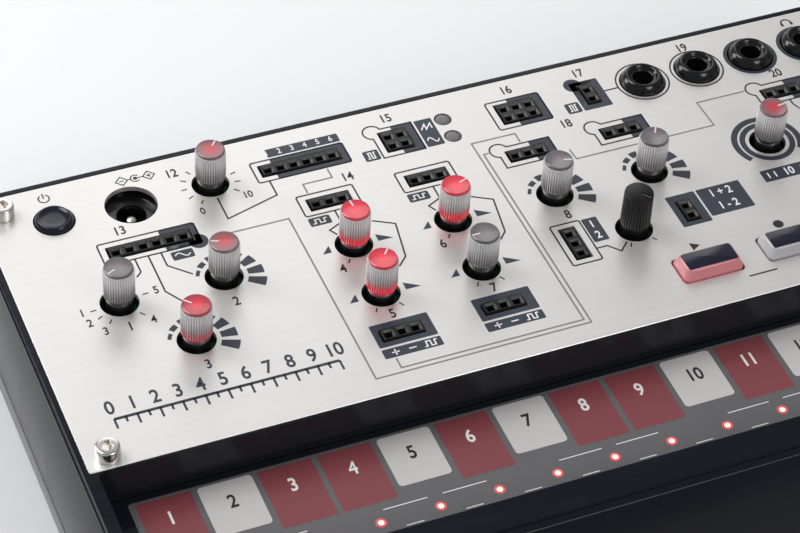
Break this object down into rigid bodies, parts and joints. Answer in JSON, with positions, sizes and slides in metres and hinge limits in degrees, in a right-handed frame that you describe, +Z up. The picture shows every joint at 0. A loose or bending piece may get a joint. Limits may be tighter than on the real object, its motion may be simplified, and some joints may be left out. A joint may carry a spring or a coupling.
{
  "type": "semi-modular synthesizer",
  "caption": "Pocket semi-modular synthesizer: metal panel of ribbed knobs, patch sockets and jacks over a touch keyboard sunk in a black two-part case.",
  "frame": {"origin": "on the table, under the middle of the case's plan outline", "axes": "+X to the player's right, +Y to the rear, +Z up"},
  "size_m": [0.193, 0.115, 0.0394],
  "materials": {
    "case_black": "high gloss black",
    "panel_aluminium": "brushed, clear anodised, printed",
    "knob_clear": "clear, ribbed",
    "knob_black": "satin, ribbed",
    "button_frosted": "frosted translucent",
    "power_navy": "gloss",
    "socket_black": "satin black",
    "screw_steel": "bright plated",
    "key_plate": "gloss over print",
    "board_green": "solder mask",
    "foot_rubber": "matte",
    "speaker_grey": "satin",
    "contact_nickel": "nickel plated",
    "ribbon_grey": "matte"
  },
  "bodies": {
    "case": {"top_shell": "case_black", "bottom_case": "case_black", "front_panel": "panel_aluminium", "touch_plate": "key_plate", "keyboard_board": "board_green", "main_board": "board_green", "header_source": "socket_black", "header_clock": "socket_black", "header_function_a": "socket_black", "header_function_b": "socket_black", "header_release": "socket_black", "header_time": "socket_black", "header_random": "socket_black", "header_split": "socket_black", "header_cv_in": "socket_black", "header_gate_a": "socket_black", "header_gate_b": "socket_black", "header_utility_in": "socket_black", "header_utility_out": "socket_black", "header_effect": "socket_black", "jack_1": "socket_black", "jack_2": "socket_black", "jack_3": "socket_black", "jack_4": "socket_black", "dc_jack": "socket_black", "panel_screw_front_left": "screw_steel", "case_screw_front_left": "screw_steel", "foot_front_left": "foot_rubber", "panel_screw_front_right": "screw_steel", "case_screw_front_right": "screw_steel", "foot_front_right": "foot_rubber", "panel_screw_rear_left": "screw_steel", "case_screw_rear_left": "screw_steel", "foot_rear_left": "foot_rubber", "panel_screw_rear_right": "screw_steel", "case_screw_rear_right": "screw_steel", "foot_rear_right": "foot_rubber", "contacts_front": "contact_nickel", "contacts_rear": "contact_nickel", "speaker": "speaker_grey", "ribbon_cable": "ribbon_grey"},
    "knob_ratio": {"knob_ratio": "knob_clear"},
    "knob_fold": {"knob_fold": "knob_clear"},
    "knob_mod": {"knob_mod": "knob_clear"},
    "knob_tempo": {"knob_tempo": "knob_clear"},
    "knob_attack": {"knob_attack": "knob_clear"},
    "knob_release": {"knob_release": "knob_clear"},
    "knob_shape": {"knob_shape": "knob_clear"},
    "knob_time": {"knob_time": "knob_clear"},
    "knob_cutoff_a": {"knob_cutoff_a": "knob_clear"},
    "knob_cutoff_b": {"knob_cutoff_b": "knob_clear"},
    "knob_amount": {"knob_amount": "knob_clear"},
    "knob_blend": {"knob_blend": "knob_black"},
    "knob_volume": {"knob_volume": "knob_black"},
    "button_play": {"button_play": "button_frosted"},
    "button_record": {"button_record": "button_frosted"},
    "button_memory": {"button_memory": "button_frosted"},
    "button_function": {"button_function": "button_frosted"},
    "power_button": {"power_button": "power_navy"},
    "battery_door": {"battery_door": "case_black"}
  },
  "joints": [
    {"name": "knob_ratio_turn", "type": "hinge", "parent": "case", "child": "knob_ratio", "pos_m": [-0.076, 0.022, 0.0304], "axis": [0, 0, 1], "range_deg": [-265, 35]},
    {"name": "knob_fold_turn", "type": "hinge", "parent": "case", "child": "knob_fold", "pos_m": [-0.0663, 0.0089, 0.0304], "axis": [0, 0, 1], "range_deg": [-195, 105]},
    {"name": "knob_mod_turn", "type": "hinge", "parent": "case", "child": "knob_mod", "pos_m": [-0.0566, 0.022, 0.0304], "axis": [0, 0, 1], "range_deg": [-220, 80]},
    {"name": "knob_tempo_turn", "type": "hinge", "parent": "case", "child": "knob_tempo", "pos_m": [-0.0509, 0.0455, 0.0304], "axis": [0, 0, 1], "range_deg": [-110, 190]},
    {"name": "knob_attack_turn", "type": "hinge", "parent": "case", "child": "knob_attack", "pos_m": [-0.0319, 0.022, 0.0304], "axis": [0, 0, 1], "range_deg": [-155, 145]},
    {"name": "knob_release_turn", "type": "hinge", "parent": "case", "child": "knob_release", "pos_m": [-0.0319, 0.0089, 0.0304], "axis": [0, 0, 1], "range_deg": [-110, 190]},
    {"name": "knob_shape_turn", "type": "hinge", "parent": "case", "child": "knob_shape", "pos_m": [-0.0125, 0.022, 0.0304], "axis": [0, 0, 1], "range_deg": [-80, 220]},
    {"name": "knob_time_turn", "type": "hinge", "parent": "case", "child": "knob_time", "pos_m": [-0.0125, 0.0089, 0.0304], "axis": [0, 0, 1], "range_deg": [-240, 60]},
    {"name": "knob_cutoff_a_turn", "type": "hinge", "parent": "case", "child": "knob_cutoff_a", "pos_m": [0.0079, 0.022, 0.0304], "axis": [0, 0, 1], "range_deg": [-40, 260]},
    {"name": "knob_cutoff_b_turn", "type": "hinge", "parent": "case", "child": "knob_cutoff_b", "pos_m": [0.0273, 0.022, 0.0304], "axis": [0, 0, 1], "range_deg": [-120, 180]},
    {"name": "knob_amount_turn", "type": "hinge", "parent": "case", "child": "knob_amount", "pos_m": [0.0521, 0.022, 0.0304], "axis": [0, 0, 1], "range_deg": [-65, 235]},
    {"name": "knob_blend_turn", "type": "hinge", "parent": "case", "child": "knob_blend", "pos_m": [0.0178, 0.0089, 0.0304], "axis": [0, 0, 1], "range_deg": [-10, 290]},
    {"name": "knob_volume_turn", "type": "hinge", "parent": "case", "child": "knob_volume", "pos_m": [0.0759, 0.022, 0.0304], "axis": [0, 0, 1], "range_deg": [-150, 150]},
    {"name": "button_play_press", "type": "slide", "parent": "case", "child": "button_play", "axis": [0, 0, -1], "range_m": [0, 0.0006], "stiffness_N_per_m": 400, "springref_m": -0.0003},
    {"name": "button_record_press", "type": "slide", "parent": "case", "child": "button_record", "axis": [0, 0, -1], "range_m": [0, 0.0006], "stiffness_N_per_m": 400, "springref_m": -0.0003},
    {"name": "button_memory_press", "type": "slide", "parent": "case", "child": "button_memory", "axis": [0, 0, -1], "range_m": [0, 0.0006], "stiffness_N_per_m": 400, "springref_m": -0.0003},
    {"name": "button_function_press", "type": "slide", "parent": "case", "child": "button_function", "axis": [0, 0, -1], "range_m": [0, 0.0006], "stiffness_N_per_m": 400, "springref_m": -0.0003},
    {"name": "power_button_press", "type": "slide", "parent": "case", "child": "power_button", "axis": [0, 0, -1], "range_m": [0, 0.0006], "stiffness_N_per_m": 400, "springref_m": -0.0003},
    {"name": "battery_door_slide", "type": "slide", "parent": "case", "child": "battery_door", "axis": [0, 1, 0], "range_m": [0, 0.078]}
  ]
}
